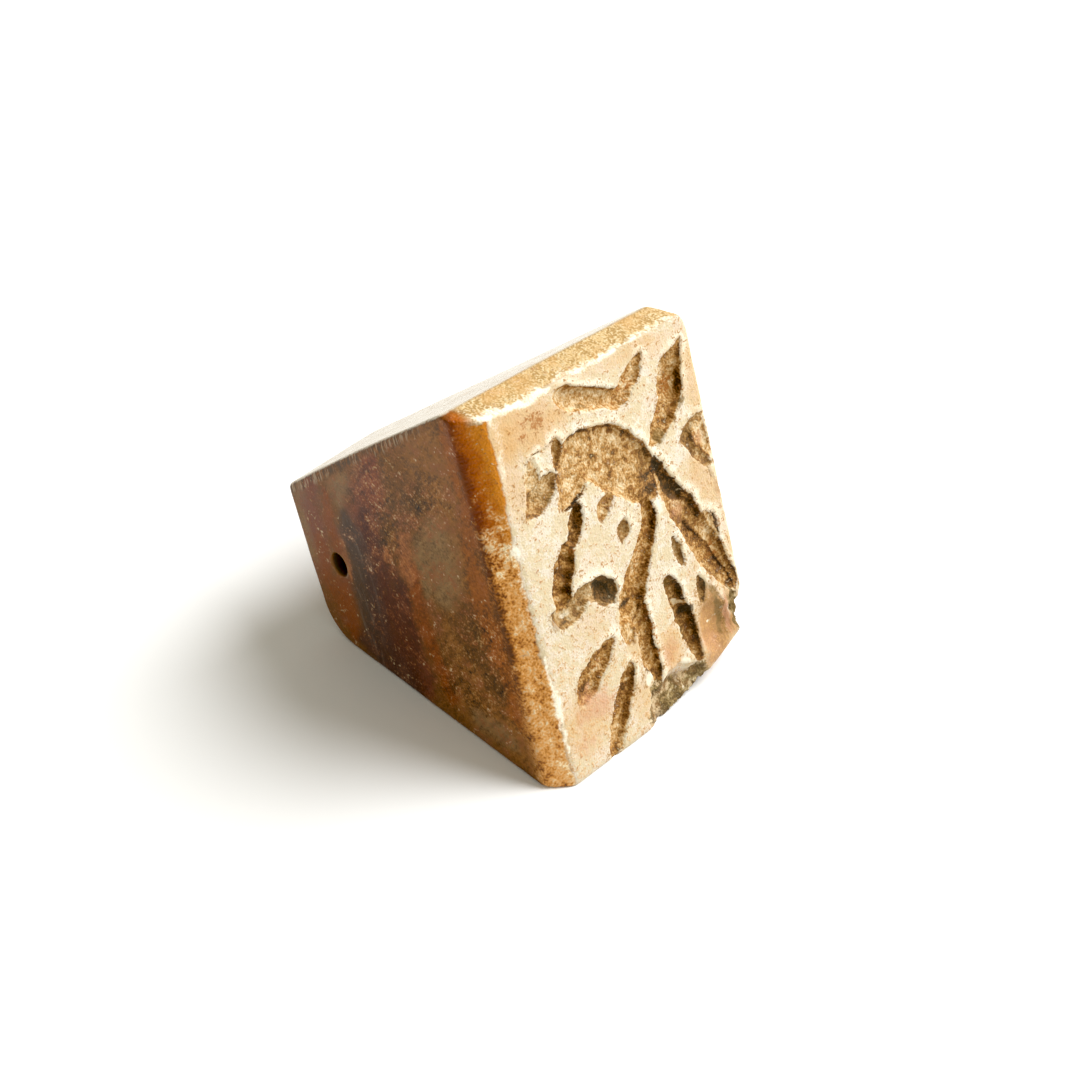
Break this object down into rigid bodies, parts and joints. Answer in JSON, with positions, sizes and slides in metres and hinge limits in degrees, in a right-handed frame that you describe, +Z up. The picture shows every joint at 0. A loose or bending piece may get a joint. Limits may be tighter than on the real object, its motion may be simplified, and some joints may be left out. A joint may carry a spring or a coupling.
{
  "type": "stone stamp seal bead",
  "caption": "Wedge-shaped banded stone bead with a string bore across its narrow back and an animal cut into its flat stamping face.",
  "frame": {"origin": "centre of the bounding box in plan, at the height of the surface the seal lies on", "axes": "+Z up, the seal lying on its lower slope; +X across the seal along the string bore; -Y is the side of the engraved face, which leans back by 21.6 degrees"},
  "size_m": [0.0166, 0.0218, 0.0194],
  "materials": {
    "stone": "polished banded jasper, worn, with a pale matt crust on the engraved face"
  },
  "bodies": {
    "root": {"seal_stone": "stone"}
  },
  "joints": []
}
